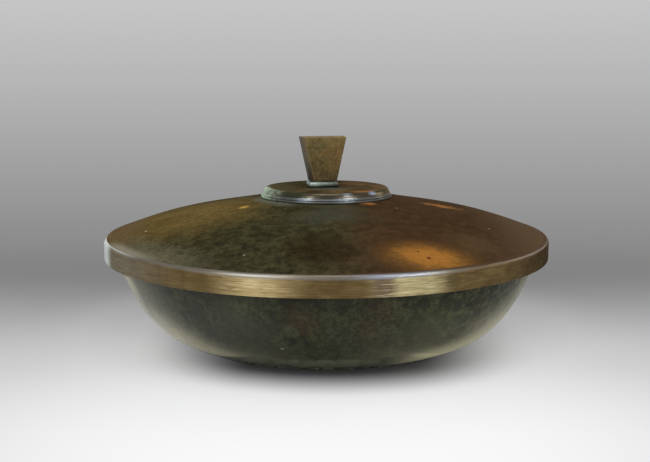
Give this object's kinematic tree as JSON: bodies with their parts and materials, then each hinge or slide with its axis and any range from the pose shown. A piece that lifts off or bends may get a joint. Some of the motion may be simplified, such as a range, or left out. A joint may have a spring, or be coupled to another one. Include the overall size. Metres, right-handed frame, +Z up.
{
  "type": "lidded bowl",
  "caption": "Wide low bronze bowl on a foot ring with an overhanging domed lid that lifts off and turns, a brushed rim band and a keystone-shaped knob on a moulded disc.",
  "frame": {"origin": "on the table, under the centre of the bowl's foot ring", "axes": "+Z up along the axis that the bowl and lid are turned about; -Y towards the viewer in the picture"},
  "size_m": [0.24, 0.24, 0.1084],
  "materials": {
    "dark_patina": "dark green-grey patina, satin",
    "brown_patina": "brown and green-black patina, satin",
    "brushed_bronze": "brushed, golden bronze",
    "plain_bronze": "turned, dull",
    "olive_patina": "olive brown patina, satin",
    "green_patina": "pale green patina, dull",
    "fixing_brass": "machined"
  },
  "bodies": {
    "bowl": {"bowl_shell": "dark_patina", "bowl_foot_ring": "dark_patina"},
    "lid_seat": {"lid_seat_ring": "plain_bronze"},
    "lid": {"lid_rim_band": "brushed_bronze", "lid_dome": "brown_patina", "knob_boss": "brown_patina", "knob_plinth": "green_patina", "knob_block": "olive_patina", "knob_stud": "fixing_brass", "knob_washer": "fixing_brass", "knob_nut": "fixing_brass"}
  },
  "joints": [
    {"name": "lid_lift", "type": "slide", "parent": "bowl", "child": "lid_seat", "axis": [0, 0, 1], "range_m": [0, 0.15]},
    {"name": "lid_turn", "type": "hinge", "parent": "lid_seat", "child": "lid", "pos_m": [0, 0, 0.0482], "axis": [0, 0, 1], "continuous": true}
  ]
}
